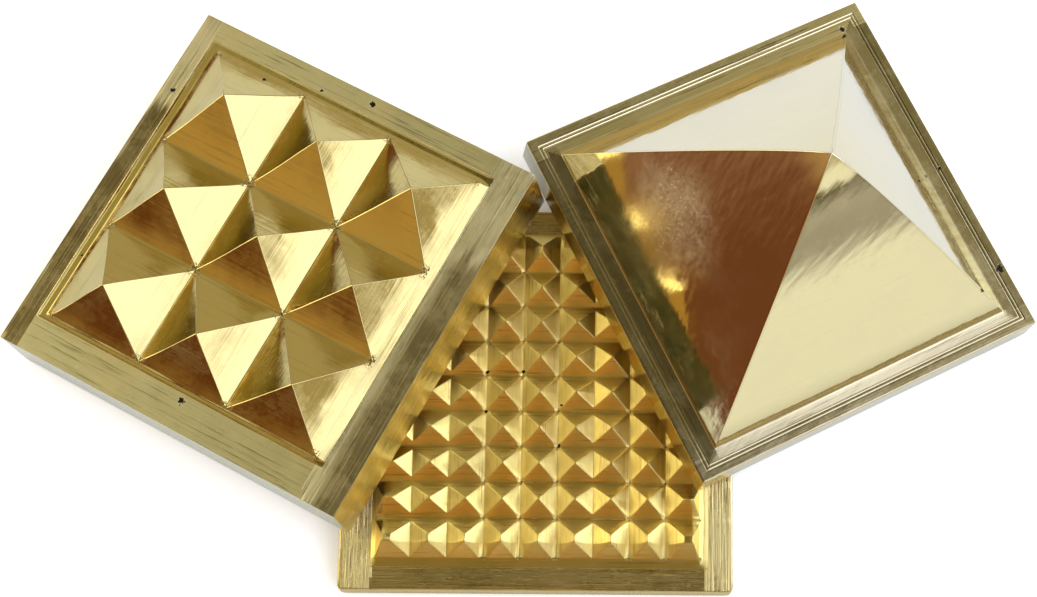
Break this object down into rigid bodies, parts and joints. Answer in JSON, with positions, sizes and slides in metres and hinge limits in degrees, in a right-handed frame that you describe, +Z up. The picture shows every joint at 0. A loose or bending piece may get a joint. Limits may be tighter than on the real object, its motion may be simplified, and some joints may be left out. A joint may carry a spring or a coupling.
{
  "type": "vastu pyramid",
  "caption": "Loose square brass plates that stack, fanned out: one with rows of small pyramids, a recessed one with larger pyramids and one that is a large hollow pyramid.",
  "frame": {"origin": "centre of the flat underside of the plate with eighty-one pyramids", "axes": "+Z up, square to that plate; +Y to the back of the pictured group, +X to its right"},
  "size_m": [0.1325, 0.0795, 0.0375],
  "materials": {
    "brass_small": "milled, with fine tool lines, bright yellow",
    "brass_middle": "milled and satin brushed, pale, with casting pores",
    "brass_large": "polished, with faint brush streaks near the tip"
  },
  "bodies": {
    "flat_plate": {"base_plate_81_pyramids": "brass_small"},
    "middle_plate": {"middle_plate_9_pyramids": "brass_middle"},
    "top_plate": {"top_plate_single_pyramid": "brass_large"}
  },
  "joints": [
    {"name": "middle_plate_lift", "type": "slide", "parent": "flat_plate", "child": "middle_plate", "axis": [0, 0, 1], "range_m": [0, 0.05]},
    {"name": "top_plate_lift", "type": "slide", "parent": "flat_plate", "child": "top_plate", "axis": [0, 0, 1], "range_m": [0, 0.05]}
  ]
}
